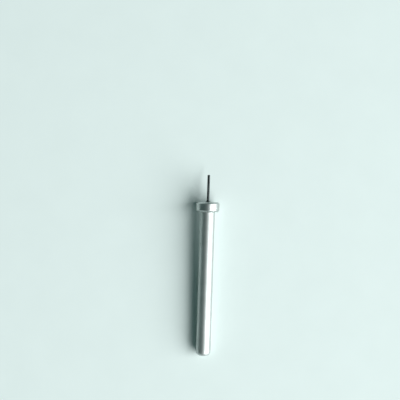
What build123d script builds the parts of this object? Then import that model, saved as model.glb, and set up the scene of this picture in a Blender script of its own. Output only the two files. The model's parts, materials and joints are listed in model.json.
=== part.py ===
import os
from math import asin, atan2, cos, degrees, hypot, radians, sin, tan

from build123d import *

# A slotted quilling tool: a turned metal handle, a pressed-on collar and a slotted steel needle.
# Lengths are in millimetres and angles in degrees.

# Handle: a turned rod with a rounded butt
handle_diameter = 5.0
handle_length = 49.4  # from the butt to the shoulder that the collar sits against
butt_edge_radius = 1.5
shoulder_edge_break = 0.15

# Spigot: the stepped-down head of the handle, which carries the collar
spigot_diameter = 3.5
spigot_edge_break = 0.1
spigot_set_back = 0.1  # how far the spigot ends short of the collar's face

# Collar: a ring that the paper coil is wound against
collar_diameter = 8.0
collar_thickness = 3.3
collar_edge_chamfer = 0.5
collar_corner_radius = 0.15  # where the chamfer meets the rim and the faces
collar_bore_chamfer = 0.15

# Needle: a thicker shank in the handle and a thinner, slotted blade
shank_diameter = 1.2
shank_reach = 0.5  # how far the shank stands out of the collar's face
shank_edge_break = 0.1
seat_depth = 12.0  # how deep the shank sits, from the spigot's end
root_chamfer = 0.2
blade_diameter = 0.85
needle_reach = 9.3  # from the collar's face to the tip
tip_edge_radius = 0.2

# Slot: takes the end of a paper strip, and is open at the tip
slot_width = 0.2
slot_depth = 6.5
slot_mouth_width = 0.34
slot_mouth_depth = 0.25
slot_turn = 55.0  # about the tool's axis, from upright

# Drilled bore for the shank, and the adhesive that locks it
bond_gap = 0.02  # radial, between the shank and its bore
bore_run_out = 0.6  # how much deeper than the shank the bore is drilled
drill_point_angle = 118.0
countersink_diameter = 1.7
countersink_angle = 90.0
bead_diameter = 2.1
bead_height = 0.3
bead_hollow_share = 0.15  # how far the hollow flank stays off the corner that it fills

# One overrun takes every cut clear of the metal
overrun = 0.5

handle_radius = handle_diameter / 2
spigot_radius = spigot_diameter / 2
collar_radius = collar_diameter / 2
shank_radius = shank_diameter / 2
blade_radius = blade_diameter / 2
bore_radius = shank_radius + bond_gap
countersink_radius = countersink_diameter / 2
bead_radius = bead_diameter / 2

# Places along the tool's axis, from the butt
collar_face = handle_length + collar_thickness
spigot_end = collar_face - spigot_set_back
shank_top = collar_face + shank_reach
shank_root = spigot_end - seat_depth
tip = collar_face + needle_reach
bore_floor = shank_root - bore_run_out
drill_point = bore_floor - bore_radius / tan(radians(drill_point_angle / 2))
countersink_floor = spigot_end - (countersink_radius - bore_radius) / tan(
    radians(countersink_angle / 2)
)

# The tool lies on a table, on the collar's rear edge and the butt's edge, so its axis climbs to the needle.
# The collar touches it with the rounded corner of its rear chamfer, and the butt with its round.
# The table touches the two rounds' lowest points. The chamfer turns the rim by 45 degrees.
corner_run = collar_corner_radius * tan(radians(45 / 2))
edge_run = handle_length + collar_edge_chamfer + corner_run - butt_edge_radius
edge_rise = (collar_radius - collar_corner_radius) - (handle_radius - butt_edge_radius)
lean = degrees(
    atan2(edge_rise, edge_run)
    + asin((collar_corner_radius - butt_edge_radius) / hypot(edge_run, edge_rise))
)
climb = sin(radians(lean))
level = cos(radians(lean))
butt_height = (
    (handle_radius - butt_edge_radius) * level
    + butt_edge_radius
    - butt_edge_radius * climb
)

# The origin is on the table, halfway between the foremost and the rearmost point
front_reach = (
    (tip - tip_edge_radius) * level
    + (blade_radius - tip_edge_radius) * climb
    + tip_edge_radius
)
rear_reach = (
    butt_edge_radius * level
    - (handle_radius - butt_edge_radius) * climb
    - butt_edge_radius
)
butt_place = -(front_reach + rear_reach) / 2

# Lengthwise plane: local X goes across the tool, local Y runs up its axis from the butt
lengthwise = Plane(
    origin=(0, butt_place, butt_height), x_dir=(1, 0, 0), z_dir=(0, -climb, level)
)
tool_axis = Axis(origin=lengthwise.origin, direction=lengthwise.y_dir)

# Crosswise plane: square to the axis at the butt, and looking to the tip
crosswise = Plane(
    origin=lengthwise.origin, x_dir=lengthwise.x_dir, z_dir=lengthwise.y_dir
)

# Slot plane: holds the axis and looks straight through the slot
slot_view = lengthwise.rotated((0, slot_turn, 0))

os.makedirs("parts", exist_ok=True)

# Handle
with BuildPart() as handle:
    with BuildSketch(crosswise):
        Circle(handle_radius)
    extrude(amount=handle_length)
    fillet(handle.edges().sort_by(tool_axis)[0], butt_edge_radius)
    chamfer(handle.edges().sort_by(tool_axis)[-1], shoulder_edge_break)
    with BuildSketch(crosswise.offset(handle_length)):
        Circle(spigot_radius)
    extrude(amount=spigot_end - handle_length)
    chamfer(handle.edges().sort_by(tool_axis)[-1], spigot_edge_break)
    with BuildSketch(lengthwise):
        with BuildLine():
            Polyline(
                (0, drill_point),
                (bore_radius, bore_floor),
                (bore_radius, countersink_floor),
                (countersink_radius, spigot_end),
                (countersink_radius, spigot_end + overrun),
                (0, spigot_end + overrun),
                close=True,
            )
        make_face()
    revolve(axis=tool_axis, mode=Mode.SUBTRACT)
handle.part.label = "handle"
export_step(handle.part, "parts/handle.step")

# Collar
with BuildPart() as collar:
    with BuildSketch(crosswise.offset(handle_length)):
        Circle(collar_radius)
        Circle(spigot_radius, mode=Mode.SUBTRACT)
    extrude(amount=collar_thickness)
    bore_rims = collar.edges().filter_by(GeomType.CIRCLE).group_by(SortBy.RADIUS)[0]
    chamfer(bore_rims, collar_bore_chamfer)
    outer_rims = collar.edges().filter_by(GeomType.CIRCLE).group_by(SortBy.RADIUS)[-1]
    chamfer(outer_rims, collar_edge_chamfer)
    chamfer_corners = collar.edges().filter_by(GeomType.CIRCLE).group_by(SortBy.RADIUS)
    fillet(chamfer_corners[-1] + chamfer_corners[-2], collar_corner_radius)
collar.part.label = "collar"
export_step(collar.part, "parts/collar.step")

# Slotted needle
with BuildPart() as slotted_needle:
    with BuildSketch(crosswise.offset(shank_root)):
        Circle(shank_radius)
    extrude(amount=shank_top - shank_root)
    chamfer(slotted_needle.edges().sort_by(tool_axis)[0], root_chamfer)
    chamfer(slotted_needle.edges().sort_by(tool_axis)[-1], shank_edge_break)
    with BuildSketch(crosswise.offset(shank_top)):
        Circle(blade_radius)
    extrude(amount=tip - shank_top)
    fillet(slotted_needle.edges().sort_by(tool_axis)[-1], tip_edge_radius)
    with BuildSketch(slot_view):
        with BuildLine():
            slot_side = slot_width / 2
            mouth_side = slot_mouth_width / 2
            floor_centre = tip - slot_depth + slot_side
            Polyline(
                (slot_side, floor_centre),
                (slot_side, tip - slot_mouth_depth),
                (mouth_side, tip),
                (mouth_side, tip + overrun),
                (-mouth_side, tip + overrun),
                (-mouth_side, tip),
                (-slot_side, tip - slot_mouth_depth),
                (-slot_side, floor_centre),
            )
            ThreePointArc(
                (-slot_side, floor_centre),
                (0, floor_centre - slot_side),
                (slot_side, floor_centre),
            )
        make_face()
    extrude(amount=blade_radius + overrun, both=True, mode=Mode.SUBTRACT)
slotted_needle.part.label = "slotted_needle"
export_step(slotted_needle.part, "parts/slotted_needle.step")

# Adhesive bead: fills the countersink and climbs the shank in a hollow curve
with BuildPart() as adhesive_bead:
    with BuildSketch(lengthwise):
        with BuildLine():
            Polyline(
                (shank_radius, spigot_end + bead_height),
                (shank_radius, countersink_floor),
                (bore_radius, countersink_floor),
                (countersink_radius, spigot_end),
                (bead_radius, spigot_end),
            )
            Bezier(
                (bead_radius, spigot_end),
                (
                    shank_radius + (bead_radius - shank_radius) * bead_hollow_share,
                    spigot_end + bead_height * bead_hollow_share,
                ),
                (shank_radius, spigot_end + bead_height),
            )
        make_face()
    revolve(axis=tool_axis)
adhesive_bead.part.label = "adhesive_bead"
export_step(adhesive_bead.part, "parts/adhesive_bead.step")
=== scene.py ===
import json
from math import acos, atan2, cos, pi, radians, sin, sqrt

import bmesh
import bpy
from mathutils import Euler, Matrix, Vector


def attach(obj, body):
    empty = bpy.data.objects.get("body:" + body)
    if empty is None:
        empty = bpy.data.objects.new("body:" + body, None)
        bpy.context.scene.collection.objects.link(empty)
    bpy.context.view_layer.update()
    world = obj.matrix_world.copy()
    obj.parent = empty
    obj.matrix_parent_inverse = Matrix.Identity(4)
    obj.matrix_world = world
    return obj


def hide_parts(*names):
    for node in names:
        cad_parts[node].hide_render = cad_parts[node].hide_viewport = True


# A slotted quilling tool, lying on its side: a turned aluminium handle and collar,
# a slotted steel needle and the ring of adhesive that locks it.
# Lengths in the dictionaries are in millimetres, and mm() turns them to metres.

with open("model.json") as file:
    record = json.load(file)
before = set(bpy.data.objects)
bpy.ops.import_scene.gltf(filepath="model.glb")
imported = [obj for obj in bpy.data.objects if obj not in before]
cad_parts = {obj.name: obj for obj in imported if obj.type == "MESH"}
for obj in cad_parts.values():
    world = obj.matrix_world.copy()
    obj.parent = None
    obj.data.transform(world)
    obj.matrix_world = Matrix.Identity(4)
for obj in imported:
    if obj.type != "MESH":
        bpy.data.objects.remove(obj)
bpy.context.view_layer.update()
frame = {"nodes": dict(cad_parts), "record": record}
print("frame loaded:", sorted(frame["nodes"]))


mergeDistance = 1e-7  # metres; points that are closer become one
sharpAngle = 32  # degrees; a sharper edge stays a crease
roundingSteps = 10  # points on each rounded corner


def mm(length):
    return length / 1000


# The tool's own axis starts at the middle of its butt and climbs to the needle,
# because the collar that it lies on is wider than the handle. The record's butt face,
# which looks backwards, gives both.
mounts = {mount["name"]: mount for mount in frame["record"]["mounts"]}
toolOrigin = Vector(mounts["butt_face"]["pos_m"])
toolAxis = -Vector(mounts["butt_face"]["axis"])
toolTurn = Euler((atan2(toolAxis.z, toolAxis.y), 0, 0))
toolMatrix = Matrix.Translation(toolOrigin) @ toolTurn.to_matrix().to_4x4()


def addNode(tree, kind, links=None, **settings):
    node = tree.nodes.new(kind)
    for name, value in settings.items():
        setattr(node, name, value)
    for socket, value in (links or {}).items():
        if isinstance(value, bpy.types.NodeSocket):
            tree.links.new(value, node.inputs[socket])
        else:
            node.inputs[socket].default_value = value
    return node


def linear(hexCode):
    channels = [int(hexCode[i : i + 2], 16) / 255 for i in (1, 3, 5)]
    return [c / 12.92 if c <= 0.04045 else ((c + 0.055) / 1.055) ** 2.4 for c in channels] + [1]


def addPiece(name, mesh, node, material):
    piece = bpy.data.objects.new(name, mesh)
    bpy.context.scene.collection.objects.link(piece)
    mesh.materials.clear()
    mesh.materials.append(material)
    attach(piece, "root")
    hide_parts(node)
    print(name, "made:", len(mesh.vertices), "vertices")


def startMaterial(name):
    material = bpy.data.materials.new(name)
    material.use_nodes = True
    tree = material.node_tree
    tree.nodes.clear()
    place = addNode(tree, "ShaderNodeTexCoord").outputs["Object"]
    return material, tree, place


def finishMaterial(material, sockets):
    surface = addNode(material.node_tree, "ShaderNodeBsdfPrincipled", sockets)
    addNode(
        material.node_tree, "ShaderNodeOutputMaterial", {"Surface": surface.outputs["BSDF"]}
    )
    return material


# Gives a place as the tool has it: Y runs along its axis, from the butt.
def turnToTool(tree, place):
    turned = addNode(
        tree,
        "ShaderNodeMapping",
        {"Vector": place, "Location": toolOrigin, "Rotation": toolTurn},
        vector_type="TEXTURE",
    )
    return turned.outputs["Vector"]


# Aluminium bar, turned on a lathe, rubbed to a satin and left bare: a pale, nearly neutral
# metal, dulled by its own oxide, with fine marks round the axis and soft broad highlights.
# The collar is turned finer than the handle, so its highlights are crisper.
aluminiumLook = {
    "metal": "#C9CECD",
    "dulled": "#BBC2C0",  # where hands have dulled it
    "handleRoughness": 0.466,
    "collarRoughness": 0.315,
    "markRoughness": 0.12,  # the most that the marks add to the roughness
    "smudgeRoughness": 0.04,
    "anisotropy": 0.11,
    "highlightTurn": 0.25,  # of a full turn, so that highlights run across the marks
    "markPitch": 0.22,  # real feed marks are nearer 0.05, too fine to show
    "markDepth": 0.007,  # deeper than real ones too, for the same reason
    "markDetail": 3.0,
    "markGrain": 0.6,
    "scratchShare": 0.1,  # of the marks' depth
    "scratchWidth": 0.12,
    "scratchLength": 5.0,
    "scratchDetail": 2.0,
    "smudgeSize": 4.0,
    "smudgeDetail": 4.0,
    "smudgeFrom": 0.35,  # of the noise, where a smudge starts
    "smudgeTo": 0.7,  # and where it is full
    "handleSeed": 11,
    "collarSeed": 37,
}


def turnedAluminium(name, look, seed, roughness):
    material, tree, place = startMaterial(name)
    onTool = turnToTool(tree, place)
    parts = addNode(tree, "ShaderNodeSeparateXYZ", {"Vector": onTool})
    across = addNode(
        tree, "ShaderNodeCombineXYZ", {"X": parts.outputs["X"], "Z": parts.outputs["Z"]}
    )
    radius = addNode(
        tree, "ShaderNodeVectorMath", {0: across.outputs["Vector"]}, operation="LENGTH"
    )
    # rings on the sides and on the end faces alike
    ringPlace = addNode(
        tree, "ShaderNodeMath", {0: parts.outputs["Y"], 1: radius.outputs["Value"]}
    )
    ringCount = addNode(
        tree,
        "ShaderNodeMath",
        {0: ringPlace.outputs[0], 1: 1 / mm(look["markPitch"]), 2: seed},
        operation="MULTIPLY_ADD",
    )
    marks = addNode(
        tree,
        "ShaderNodeTexNoise",
        {
            "W": ringCount.outputs[0],
            "Scale": 1.0,
            "Detail": look["markDetail"],
            "Roughness": look["markGrain"],
        },
        noise_dimensions="1D",
    )
    scratchPlace = addNode(
        tree,
        "ShaderNodeVectorMath",
        {
            0: onTool,
            1: (
                1 / mm(look["scratchWidth"]),
                1 / mm(look["scratchLength"]),
                1 / mm(look["scratchWidth"]),
            ),
        },
        operation="MULTIPLY",
    )
    scratches = addNode(
        tree,
        "ShaderNodeTexNoise",
        {
            "Vector": scratchPlace.outputs["Vector"],
            "Scale": 1.0,
            "Detail": look["scratchDetail"],
        },
    )
    smudges = addNode(
        tree,
        "ShaderNodeTexNoise",
        {
            "Vector": onTool,
            "Scale": 1 / mm(look["smudgeSize"]),
            "Detail": look["smudgeDetail"],
        },
    )
    smudgeShare = addNode(
        tree,
        "ShaderNodeMapRange",
        {
            "Value": smudges.outputs["Fac"],
            "From Min": look["smudgeFrom"],
            "From Max": look["smudgeTo"],
        },
    )
    colour = addNode(
        tree,
        "ShaderNodeMix",
        {
            "Factor": smudgeShare.outputs["Result"],
            "A": linear(look["metal"]),
            "B": linear(look["dulled"]),
        },
        data_type="RGBA",
    )
    markRoughness = addNode(
        tree,
        "ShaderNodeMath",
        {0: marks.outputs["Fac"], 1: look["markRoughness"], 2: roughness},
        operation="MULTIPLY_ADD",
    )
    wornRoughness = addNode(
        tree,
        "ShaderNodeMath",
        {
            0: smudgeShare.outputs["Result"],
            1: look["smudgeRoughness"],
            2: markRoughness.outputs[0],
        },
        operation="MULTIPLY_ADD",
    )
    height = addNode(
        tree,
        "ShaderNodeMath",
        {0: scratches.outputs["Fac"], 1: look["scratchShare"], 2: marks.outputs["Fac"]},
        operation="MULTIPLY_ADD",
    )
    bump = addNode(
        tree,
        "ShaderNodeBump",
        {"Height": height.outputs[0], "Distance": mm(look["markDepth"]), "Strength": 1.0},
    )
    # the direction round the axis, at every point
    fromAxis = addNode(
        tree, "ShaderNodeVectorMath", {0: place, 1: toolOrigin}, operation="SUBTRACT"
    )
    roundAxis = addNode(
        tree,
        "ShaderNodeVectorMath",
        {0: toolAxis, 1: fromAxis.outputs["Vector"]},
        operation="CROSS_PRODUCT",
    )
    sockets = {
        "Base Color": colour.outputs["Result"],
        "Metallic": 1,
        "Roughness": wornRoughness.outputs[0],
        "Anisotropic": look["anisotropy"],
        "Anisotropic Rotation": look["highlightTurn"],
        "Normal": bump.outputs["Normal"],
        "Tangent": roundAxis.outputs["Vector"],
    }
    return finishMaterial(material, sockets)


# Hardened steel wire, blackened in a hot oxide bath and polished lengthwise: dark grey
# with a thin sharp highlight, drawn out along the wire.
blackSteelLook = {
    "polished": "#3C4142",
    "oxide": "#303637",  # where the black is thicker
    "roughness": 0.3,
    "streakRoughness": 0.08,
    "streakWidth": 0.05,
    "streakLength": 3.0,
    "streakDepth": 0.0005,
    "streakDetail": 2.0,
}


def blackenedSteel(name, look):
    material, tree, place = startMaterial(name)
    onTool = turnToTool(tree, place)
    streakPlace = addNode(
        tree,
        "ShaderNodeVectorMath",
        {
            0: onTool,
            1: (
                1 / mm(look["streakWidth"]),
                1 / mm(look["streakLength"]),
                1 / mm(look["streakWidth"]),
            ),
        },
        operation="MULTIPLY",
    )
    streaks = addNode(
        tree,
        "ShaderNodeTexNoise",
        {
            "Vector": streakPlace.outputs["Vector"],
            "Scale": 1.0,
            "Detail": look["streakDetail"],
        },
    )
    colour = addNode(
        tree,
        "ShaderNodeMix",
        {
            "Factor": streaks.outputs["Fac"],
            "A": linear(look["polished"]),
            "B": linear(look["oxide"]),
        },
        data_type="RGBA",
    )
    roughness = addNode(
        tree,
        "ShaderNodeMath",
        {0: streaks.outputs["Fac"], 1: look["streakRoughness"], 2: look["roughness"]},
        operation="MULTIPLY_ADD",
    )
    bump = addNode(
        tree,
        "ShaderNodeBump",
        {
            "Height": streaks.outputs["Fac"],
            "Distance": mm(look["streakDepth"]),
            "Strength": 1.0,
        },
    )
    sockets = {
        "Base Color": colour.outputs["Result"],
        "Metallic": 1,
        "Roughness": roughness.outputs[0],
        "Normal": bump.outputs["Normal"],
    }
    return finishMaterial(material, sockets)


# Anaerobic adhesive, cured in the open: a grey-green glossy resin, slightly uneven.
adhesiveLook = {
    "thick": "#525C5A",
    "thin": "#66716E",
    "roughness": 0.18,
    "ior": 1.5,
    "rippleRoughness": 0.12,
    "rippleSize": 0.35,
    "rippleDepth": 0.004,
    "rippleDetail": 3.0,
}


def curedAdhesive(name, look):
    material, tree, place = startMaterial(name)
    ripples = addNode(
        tree,
        "ShaderNodeTexNoise",
        {
            "Vector": place,
            "Scale": 1 / mm(look["rippleSize"]),
            "Detail": look["rippleDetail"],
        },
    )
    colour = addNode(
        tree,
        "ShaderNodeMix",
        {
            "Factor": ripples.outputs["Fac"],
            "A": linear(look["thick"]),
            "B": linear(look["thin"]),
        },
        data_type="RGBA",
    )
    roughness = addNode(
        tree,
        "ShaderNodeMath",
        {0: ripples.outputs["Fac"], 1: look["rippleRoughness"], 2: look["roughness"]},
        operation="MULTIPLY_ADD",
    )
    bump = addNode(
        tree,
        "ShaderNodeBump",
        {
            "Height": ripples.outputs["Fac"],
            "Distance": mm(look["rippleDepth"]),
            "Strength": 1.0,
        },
    )
    sockets = {
        "Base Color": colour.outputs["Result"],
        "Roughness": roughness.outputs[0],
        "IOR": look["ior"],
        "Normal": bump.outputs["Normal"],
    }
    return finishMaterial(material, sockets)


# Where a turned piece has an uneven radius, it flows in a few soft lobes.
flowLobes = {
    "scale": 0.9,
    "detail": 0.0,
    "from": 0.3,  # of the noise, where the most is lost
    "to": 0.7,  # and where nothing is
}


def latheTree(lobes):
    tree = bpy.data.node_groups.new("turnOnLathe", "GeometryNodeTree")
    for name, kind in (
        ("Outline", "NodeSocketObject"),
        ("Steps Round", "NodeSocketInt"),
        ("Rounding Steps", "NodeSocketInt"),
        ("Longest Step", "NodeSocketFloat"),
        ("Unevenness", "NodeSocketFloat"),
        ("Even Radius", "NodeSocketFloat"),
        ("Place", "NodeSocketVector"),
        ("Lean", "NodeSocketFloat"),
        ("Finish", "NodeSocketMaterial"),
    ):
        tree.interface.new_socket(name=name, in_out="INPUT", socket_type=kind)
    tree.interface.new_socket(
        name="Turned", in_out="OUTPUT", socket_type="NodeSocketGeometry"
    )
    given = addNode(tree, "NodeGroupInput").outputs

    outline = addNode(tree, "GeometryNodeObjectInfo", {"Object": given["Outline"]})
    rounding = addNode(tree, "GeometryNodeInputRadius")
    rounded = addNode(
        tree,
        "GeometryNodeFilletCurve",
        {
            "Curve": outline.outputs["Geometry"],
            "Count": given["Rounding Steps"],
            "Radius": rounding.outputs["Radius"],
            "Limit Radius": True,
        },
        mode="POLY",
    )
    # cut the long runs, so that no step is longer than asked
    here = addNode(tree, "GeometryNodeInputPosition").outputs["Position"]
    index = addNode(tree, "GeometryNodeInputIndex").outputs["Index"]
    nextIndex = addNode(tree, "ShaderNodeMath", {0: index, 1: 1.0}, operation="ADD")
    nextPlace = addNode(
        tree,
        "GeometryNodeFieldAtIndex",
        {"Value": here, "Index": nextIndex.outputs[0]},
        data_type="FLOAT_VECTOR",
        domain="POINT",
    )
    run = addNode(
        tree,
        "ShaderNodeVectorMath",
        {0: here, 1: nextPlace.outputs[0]},
        operation="DISTANCE",
    )
    cuts = addNode(
        tree,
        "ShaderNodeMath",
        {0: run.outputs["Value"], 1: given["Longest Step"]},
        operation="DIVIDE",
    )
    stepped = addNode(
        tree,
        "GeometryNodeSubdivideCurve",
        {"Curve": rounded.outputs["Curve"], "Cuts": cuts.outputs[0]},
    )
    outlineSize = addNode(
        tree,
        "GeometryNodeAttributeDomainSize",
        {"Geometry": stepped.outputs["Curve"]},
        component="CURVE",
    )
    # a sheet of the outline's points by the steps round, rolled up about the axis
    columns = addNode(
        tree, "ShaderNodeMath", {0: given["Steps Round"], 1: 1.0}, operation="ADD"
    )
    sheet = addNode(
        tree,
        "GeometryNodeMeshGrid",
        {
            "Vertices X": outlineSize.outputs["Point Count"],
            "Vertices Y": columns.outputs[0],
        },
    )
    rowShare = addNode(
        tree,
        "ShaderNodeMath",
        {0: index, 1: columns.outputs[0]},
        operation="DIVIDE",
    )
    row = addNode(tree, "ShaderNodeMath", {0: rowShare.outputs[0]}, operation="FLOOR")
    column = addNode(
        tree, "ShaderNodeMath", {0: index, 1: columns.outputs[0]}, operation="MODULO"
    )
    onOutline = addNode(
        tree,
        "GeometryNodeSampleIndex",
        {
            "Geometry": stepped.outputs["Curve"],
            "Value": here,
            "Index": row.outputs[0],
        },
        data_type="FLOAT_VECTOR",
        domain="POINT",
    )
    parts = addNode(tree, "ShaderNodeSeparateXYZ", {"Vector": onOutline.outputs["Value"]})
    turnShare = addNode(
        tree,
        "ShaderNodeMath",
        {0: column.outputs[0], 1: given["Steps Round"]},
        operation="DIVIDE",
    )
    turn = addNode(
        tree, "ShaderNodeMath", {0: turnShare.outputs[0], 1: 2 * pi}, operation="MULTIPLY"
    )
    sine = addNode(tree, "ShaderNodeMath", {0: turn.outputs[0]}, operation="SINE")
    cosine = addNode(tree, "ShaderNodeMath", {0: turn.outputs[0]}, operation="COSINE")
    direction = addNode(
        tree,
        "ShaderNodeCombineXYZ",
        {"X": sine.outputs[0], "Z": cosine.outputs[0]},
    )
    # an uneven radius, for what flowed and wasn't turned
    flow = addNode(
        tree,
        "ShaderNodeTexNoise",
        {
            "Vector": direction.outputs["Vector"],
            "Scale": lobes["scale"],
            "Detail": lobes["detail"],
        },
    )
    flowShare = addNode(
        tree,
        "ShaderNodeMapRange",
        {
            "Value": flow.outputs["Fac"],
            "From Min": lobes["from"],
            "From Max": lobes["to"],
            "To Min": 1.0,
            "To Max": 0.0,
        },
    )
    shrink = addNode(
        tree,
        "ShaderNodeMath",
        {0: flowShare.outputs["Result"], 1: given["Unevenness"]},
        operation="MULTIPLY",
    )
    beyond = addNode(
        tree,
        "ShaderNodeMath",
        {0: parts.outputs["Y"], 1: given["Even Radius"]},
        operation="SUBTRACT",
    )
    lost = addNode(
        tree,
        "ShaderNodeMath",
        {0: beyond.outputs[0], 1: shrink.outputs[0]},
        operation="MULTIPLY",
    )
    radius = addNode(
        tree,
        "ShaderNodeMath",
        {0: parts.outputs["Y"], 1: lost.outputs[0]},
        operation="SUBTRACT",
    )
    outward = addNode(
        tree,
        "ShaderNodeVectorMath",
        {0: direction.outputs["Vector"], "Scale": radius.outputs[0]},
        operation="SCALE",
    )
    along = addNode(tree, "ShaderNodeCombineXYZ", {"Y": parts.outputs["X"]})
    place = addNode(
        tree,
        "ShaderNodeVectorMath",
        {0: outward.outputs["Vector"], 1: along.outputs["Vector"]},
    )
    rolled = addNode(
        tree,
        "GeometryNodeSetPosition",
        {"Geometry": sheet.outputs["Mesh"], "Position": place.outputs["Vector"]},
    )
    closed = addNode(
        tree,
        "GeometryNodeMergeByDistance",
        {"Geometry": rolled.outputs["Geometry"], "Distance": mergeDistance},
    )
    # the sheet rolls up with its back outwards, so its faces are turned over
    outside = addNode(
        tree, "GeometryNodeFlipFaces", {"Mesh": closed.outputs["Geometry"]}
    )
    lean = addNode(tree, "ShaderNodeCombineXYZ", {"X": given["Lean"]})
    laid = addNode(
        tree,
        "GeometryNodeTransform",
        {
            "Geometry": outside.outputs["Mesh"],
            "Translation": given["Place"],
            "Rotation": lean.outputs["Vector"],
        },
    )
    smooth = addNode(
        tree, "GeometryNodeSetShadeSmooth", {"Geometry": laid.outputs["Geometry"]}
    )
    real = addNode(
        tree, "GeometryNodeRealizeInstances", {"Geometry": smooth.outputs["Geometry"]}
    )
    finished = addNode(
        tree,
        "GeometryNodeSetMaterial",
        {"Geometry": real.outputs["Geometry"], "Material": given["Finish"]},
    )
    addNode(tree, "NodeGroupOutput", {0: finished.outputs["Geometry"]})
    return tree


turnOnLathe = latheTree(flowLobes)
print("lathe built")


# Each corner is (place along the axis, radius, rounding), in mm.
def turnedMesh(name, corners, material, size, unevenness=0.0, evenRadius=0.0):
    curve = bpy.data.curves.new(name + "Outline", "CURVE")
    curve.dimensions = "3D"
    spline = curve.splines.new("POLY")
    spline.points.add(len(corners) - 1)
    for point, (along, radius, rounding) in zip(spline.points, corners):
        point.co = (mm(along), mm(radius), 0, 1)
        point.radius = mm(rounding)
    outline = bpy.data.objects.new(name + "Outline", curve)
    blank = bpy.data.objects.new(name + "Blank", bpy.data.meshes.new(name + "Blank"))
    for thing in (outline, blank):
        bpy.context.scene.collection.objects.link(thing)
    lathe = blank.modifiers.new("lathe", "NODES")
    lathe.node_group = turnOnLathe
    values = {
        "Outline": outline,
        "Steps Round": size["stepsRound"],
        "Rounding Steps": roundingSteps,
        "Longest Step": mm(size["longestStep"]),
        "Unevenness": unevenness,
        "Even Radius": mm(evenRadius),
        "Place": toolOrigin,
        "Lean": toolTurn.x,
        "Finish": material,
    }
    for item in turnOnLathe.interface.items_tree:
        if item.in_out == "INPUT" and item.name in values:
            lathe[item.identifier] = values[item.name]
    bpy.context.view_layer.update()
    evaluated = blank.evaluated_get(bpy.context.evaluated_depsgraph_get())
    mesh = bpy.data.meshes.new_from_object(evaluated)
    mesh.name = name
    mesh.set_sharp_from_angle(angle=radians(sharpAngle))
    for thing in (blank, outline):
        bpy.data.objects.remove(thing)
    return mesh


# Places along the axis, here and in the other pieces, are measured from the butt.
handleSize = {
    "diameter": 5.0,
    "length": 49.4,
    "buttRounding": 1.5,
    "shoulderBreak": 0.15,
    "spigotDiameter": 3.5,
    "spigotBreak": 0.1,
    "spigotEnd": 52.6,
    "countersinkDiameter": 1.7,
    "countersinkDepth": 0.23,
    "boreDiameter": 1.24,
    "boreDepth": 12.6,
    "drillPoint": 0.37,
    "edgeRounding": 0.03,
    "fineRounding": 0.02,
    "stepsRound": 192,
    "longestStep": 0.8,
}


def handleOutline(size):
    radius, spigot = size["diameter"] / 2, size["spigotDiameter"] / 2
    bore, sink = size["boreDiameter"] / 2, size["countersinkDiameter"] / 2
    end, edge = size["spigotEnd"], size["shoulderBreak"]
    soft, fine = size["edgeRounding"], size["fineRounding"]
    return [
        (0, 0, 0),
        (0, radius, size["buttRounding"]),
        (size["length"] - edge, radius, soft),
        (size["length"], radius - edge, soft),
        (size["length"], spigot, 0),
        (end - size["spigotBreak"], spigot, fine),
        (end, spigot - size["spigotBreak"], fine),
        (end, sink, fine),
        (end - size["countersinkDepth"], bore, fine),
        (end - size["boreDepth"], bore, 0),
        (end - size["boreDepth"] - size["drillPoint"], 0, 0),
    ]


handleMetal = turnedAluminium(
    "satinAluminiumHandle",
    aluminiumLook,
    aluminiumLook["handleSeed"],
    aluminiumLook["handleRoughness"],
)
handleMesh = turnedMesh(
    "quillingHandle", handleOutline(handleSize), handleMetal, handleSize
)
addPiece("quillingHandle", handleMesh, "handle", handleMetal)

collarSize = {
    "diameter": 8.0,
    "thickness": 3.3,
    "chamfer": 0.5,
    "cornerRounding": 0.15,
    "boreDiameter": handleSize["spigotDiameter"],
    "boreBreak": 0.15,
    "fineRounding": 0.02,
    "rearFace": handleSize["length"],
    "stepsRound": 256,
    "longestStep": 0.4,
}


def collarOutline(size):
    radius, bore = size["diameter"] / 2, size["boreDiameter"] / 2
    rear, front = size["rearFace"], size["rearFace"] + size["thickness"]
    middle, edge = (rear + front) / 2, size["boreBreak"]
    chamfer, corner, fine = size["chamfer"], size["cornerRounding"], size["fineRounding"]
    return [
        (middle, bore, 0),
        (rear + edge, bore, fine),
        (rear, bore + edge, fine),
        (rear, radius - chamfer, corner),
        (rear + chamfer, radius, corner),
        (front - chamfer, radius, corner),
        (front, radius - chamfer, corner),
        (front, bore + edge, fine),
        (front - edge, bore, fine),
        (middle, bore, 0),
    ]


collarMetal = turnedAluminium(
    "satinAluminiumCollar",
    aluminiumLook,
    aluminiumLook["collarSeed"],
    aluminiumLook["collarRoughness"],
)
collarMesh = turnedMesh(
    "windingCollar", collarOutline(collarSize), collarMetal, collarSize
)
addPiece("windingCollar", collarMesh, "collar", collarMetal)

needleSize = {
    "shankRoot": 40.6,
    "rootChamfer": 0.2,
    "shankDiameter": 1.2,
    "shankTop": 53.2,
    "shankBreak": 0.1,
    "bladeDiameter": 0.85,
    "tip": 62.0,
    "tipRounding": 0.2,
    "slotWidth": 0.2,
    "slotDepth": 6.5,
    "mouthWidth": 0.34,
    "mouthDepth": 0.25,
    "slotTurn": 55.0,  # degrees about the axis, from upright
}
# Steps round an arc and along a chord of the section, and along each stretch of a prong.
needleSteps = {"arc": 32, "chord": 6, "floor": 8, "straight": 14, "tip": 8}


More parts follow.
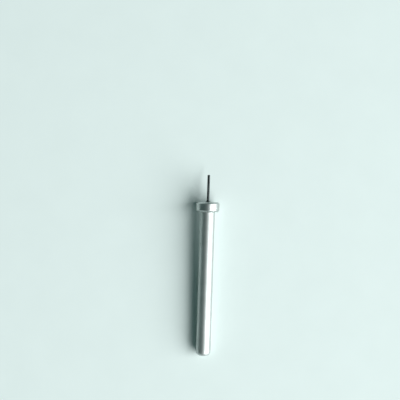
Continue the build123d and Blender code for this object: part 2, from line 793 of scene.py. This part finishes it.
def needleMesh(name, size, steps):
    bm = bmesh.new()
    half = steps["arc"]

    def ring(along, radius):
        turns = [pi * i / half for i in range(2 * half)]
        return [bm.verts.new((radius * sin(t), mm(along), radius * cos(t))) for t in turns]

    def bridge(first, second):
        for i in range(len(first)):
            j = (i + 1) % len(first)
            bm.faces.new((first[i], first[j], second[j], second[i]))

    shank, blade = mm(size["shankDiameter"]) / 2, mm(size["bladeDiameter"]) / 2
    slotSide, mouthSide = mm(size["slotWidth"]) / 2, mm(size["mouthWidth"]) / 2
    floorStart = size["tip"] - size["slotDepth"]
    floorEnd = floorStart + size["slotWidth"] / 2
    rootEdge, topEdge = mm(size["rootChamfer"]), mm(size["shankBreak"])
    rings = [
        (size["shankRoot"], shank - rootEdge),
        (size["shankRoot"] + size["rootChamfer"], shank),
        (size["shankTop"] - size["shankBreak"], shank),
        (size["shankTop"], shank - topEdge),
        (size["shankTop"], blade),
        ((size["shankTop"] + floorStart) / 2, blade),
        (floorStart, blade),
    ]
    made = [ring(along, radius) for along, radius in rings]
    for first, second in zip(made, made[1:]):
        bridge(second, first)
    bm.faces.new(made[0])

    # two prongs, each a row of half-round sections from the slot's floor to the tip
    stations = []
    for i in range(steps["floor"] + 1):
        t = pi / 2 * i / steps["floor"]
        along = floorEnd - cos(t) * size["slotWidth"] / 2
        stations.append((along, slotSide * sin(t), blade))
    straightEnd = size["tip"] - size["mouthDepth"]
    for i in range(1, steps["straight"] + 1):
        along = floorEnd + (straightEnd - floorEnd) * i / steps["straight"]
        stations.append((along, slotSide, blade))
    for i in range(1, steps["tip"] + 1):
        share = i / steps["tip"]
        along = straightEnd + size["mouthDepth"] * sin(pi / 2 * share)
        opened = (along - straightEnd) / size["mouthDepth"]
        side = slotSide + (mouthSide - slotSide) * opened
        past = max(0, along - (size["tip"] - size["tipRounding"])) / size["tipRounding"]
        radius = blade - mm(size["tipRounding"]) * (1 - sqrt(max(0, 1 - past * past)))
        stations.append((along, side, radius))

    for facing in (1, -1):
        rows = []
        for along, side, radius in stations:
            reach = acos(min(1, side / radius))
            arc = []
            for i in range(half + 1):
                t = -reach + 2 * reach * i / half
                arc.append((facing * radius * cos(t), facing * radius * sin(t)))
            (endX, endZ), (startX, startZ) = arc[-1], arc[0]
            for i in range(1, steps["chord"]):
                share = i / steps["chord"]
                arc.append(
                    (endX + (startX - endX) * share, endZ + (startZ - endZ) * share)
                )
            rows.append([bm.verts.new((x, mm(along), z)) for x, z in arc])
        for first, second in zip(rows, rows[1:]):
            bridge(second, first)
        bm.faces.new(rows[-1])
    bmesh.ops.remove_doubles(bm, verts=bm.verts, dist=mergeDistance)
    bmesh.ops.recalc_face_normals(bm, faces=bm.faces)
    for face in bm.faces:
        face.smooth = True
    mesh = bpy.data.meshes.new(name)
    bm.to_mesh(mesh)
    bm.free()
    turned = Matrix.Rotation(radians(size["slotTurn"]), 4, "Y")
    mesh.transform(toolMatrix @ turned)
    mesh.set_sharp_from_angle(angle=radians(sharpAngle))
    return mesh


needleSteel = blackenedSteel("blackenedSteelNeedle", blackSteelLook)
slottedMesh = needleMesh("slottedNeedle", needleSize, needleSteps)
addPiece("slottedNeedle", slottedMesh, "slotted_needle", needleSteel)

beadSize = {
    "foot": handleSize["spigotEnd"],
    "diameter": 2.1,
    "height": 0.3,
    "hollow": 0.15,  # share by which the flank stays off the corner that it fills
    "shankDiameter": needleSize["shankDiameter"],
    "boreDiameter": handleSize["boreDiameter"],
    "sinkDiameter": handleSize["countersinkDiameter"],
    "sinkDepth": handleSize["countersinkDepth"],
    "unevenness": 0.2,  # share of the fillet's width that it may lose
    "flankSteps": 10,
    "stepsRound": 96,
    "longestStep": 0.1,
}


def beadOutline(size):
    shank, foot, top = size["shankDiameter"] / 2, size["foot"], size["foot"] + size["height"]
    outer = size["diameter"] / 2
    middle = (foot + size["height"] * size["hollow"], shank + (outer - shank) * size["hollow"])
    flank = []
    for i in range(1, size["flankSteps"]):
        t = i / size["flankSteps"]
        along = (1 - t) ** 2 * foot + 2 * t * (1 - t) * middle[0] + t * t * top
        radius = (1 - t) ** 2 * outer + 2 * t * (1 - t) * middle[1] + t * t * shank
        flank.append((along, radius, 0))
    deep = foot - size["sinkDepth"]
    return [
        (top, shank, 0),
        (deep, shank, 0),
        (deep, size["boreDiameter"] / 2, 0),
        (foot, size["sinkDiameter"] / 2, 0),
        (foot, outer, 0),
        *flank,
        (top, shank, 0),
    ]


beadResin = curedAdhesive("curedAdhesiveBead", adhesiveLook)
beadMesh = turnedMesh(
    "adhesiveBead",
    beadOutline(beadSize),
    beadResin,
    beadSize,
    beadSize["unevenness"],
    beadSize["shankDiameter"] / 2,
)
addPiece("adhesiveBead", beadMesh, "adhesive_bead", beadResin)

# Uncoated pale paper: matt, with a faint cloudy tone and hardly any shine.
floorLook = {
    "radius": 1500,
    "colour": "#E2EFED",
    "cloud": "#DDEAE8",
    "cloudSize": 12.0,
    "roughness": 0.85,
    "shine": 0.2,
    "cloudDetail": 3.0,
    "edgeSteps": 128,
}


def palePaper(look):
    material, tree, place = startMaterial("palePaper")
    cloud = addNode(
        tree,
        "ShaderNodeTexNoise",
        {
            "Vector": place,
            "Scale": 1 / mm(look["cloudSize"]),
            "Detail": look["cloudDetail"],
        },
    )
    colour = addNode(
        tree,
        "ShaderNodeMix",
        {
            "Factor": cloud.outputs["Fac"],
            "A": linear(look["colour"]),
            "B": linear(look["cloud"]),
        },
        data_type="RGBA",
    )
    sockets = {
        "Base Color": colour.outputs["Result"],
        "Roughness": look["roughness"],
        "Specular IOR Level": look["shine"],
    }
    return finishMaterial(material, sockets)


def paleFloor(look):
    bm = bmesh.new()
    bmesh.ops.create_circle(
        bm, cap_ends=True, radius=mm(look["radius"]), segments=look["edgeSteps"]
    )
    mesh = bpy.data.meshes.new("paleFloor")
    bm.to_mesh(mesh)
    bm.free()
    mesh.materials.append(palePaper(look))
    floor = bpy.data.objects.new("paleFloor", mesh)
    bpy.context.scene.collection.objects.link(floor)


paleFloor(floorLook)
print("floor laid")

keyLight = {
    "azimuth": -23,  # degrees from +X, towards the butt
    "elevation": 34,
    "distance": 2500,
    "width": 3200,
    "height": 2220,
    "watts": 142.0,
    "colour": "#FFFFFF",
}
roomLight = {
    "colour": "#465A58",  # what the metal mirrors and what lights the shadows
    "backdrop": "#DCE7E5",  # what the camera sees beyond the floor
    "strength": 1.0,
}


def addSoftbox(name, light):
    data = bpy.data.lights.new(name, "AREA")
    data.shape = "RECTANGLE"
    data.size, data.size_y = mm(light["width"]), mm(light["height"])
    data.energy = light["watts"]
    data.color = linear(light["colour"])[:3]
    box = bpy.data.objects.new(name, data)
    bpy.context.scene.collection.objects.link(box)
    azimuth, elevation = radians(light["azimuth"]), radians(light["elevation"])
    back = Vector(
        (cos(elevation) * cos(azimuth), cos(elevation) * sin(azimuth), sin(elevation))
    )
    box.location = back * mm(light["distance"])
    box.rotation_euler = back.to_track_quat("Z", "Y").to_euler()
    box.visible_camera = False


addSoftbox("keySoftbox", keyLight)


def dimRoom(light):
    world = bpy.data.worlds.new("dimRoom")
    bpy.context.scene.world = world
    world.use_nodes = True
    tree = world.node_tree
    air = tree.nodes["Background"]
    seen = addNode(tree, "ShaderNodeLightPath")
    colour = addNode(
        tree,
        "ShaderNodeMix",
        {
            "Factor": seen.outputs["Is Camera Ray"],
            "A": linear(light["colour"]),
            "B": linear(light["backdrop"]),
        },
        data_type="RGBA",
    )
    tree.links.new(colour.outputs["Result"], air.inputs["Color"])
    air.inputs["Strength"].default_value = light["strength"]


dimRoom(roomLight)
print("lights set")

# Looks straight down from above the collar, as in the photo.
cameraPlace = {
    "x": -2.75,
    "y": 22.34,
    "height": 350,
    "roll": 1.826,  # degrees
    "lens": 91.04,
    "sensor": 36,
}
cameraData = bpy.data.cameras.new("photoCamera")
cameraData.lens = cameraPlace["lens"]
cameraData.sensor_width = cameraPlace["sensor"]
camera = bpy.data.objects.new("photoCamera", cameraData)
bpy.context.scene.collection.objects.link(camera)
camera.location = (mm(cameraPlace["x"]), mm(cameraPlace["y"]), mm(cameraPlace["height"]))
camera.rotation_euler = (0, 0, radians(cameraPlace["roll"]))
bpy.context.scene.camera = camera
print("camera placed")

bpy.context.scene.view_settings.view_transform = "Standard"
bpy.context.scene.view_settings.look = "None"
bpy.context.scene.view_settings.exposure = 0
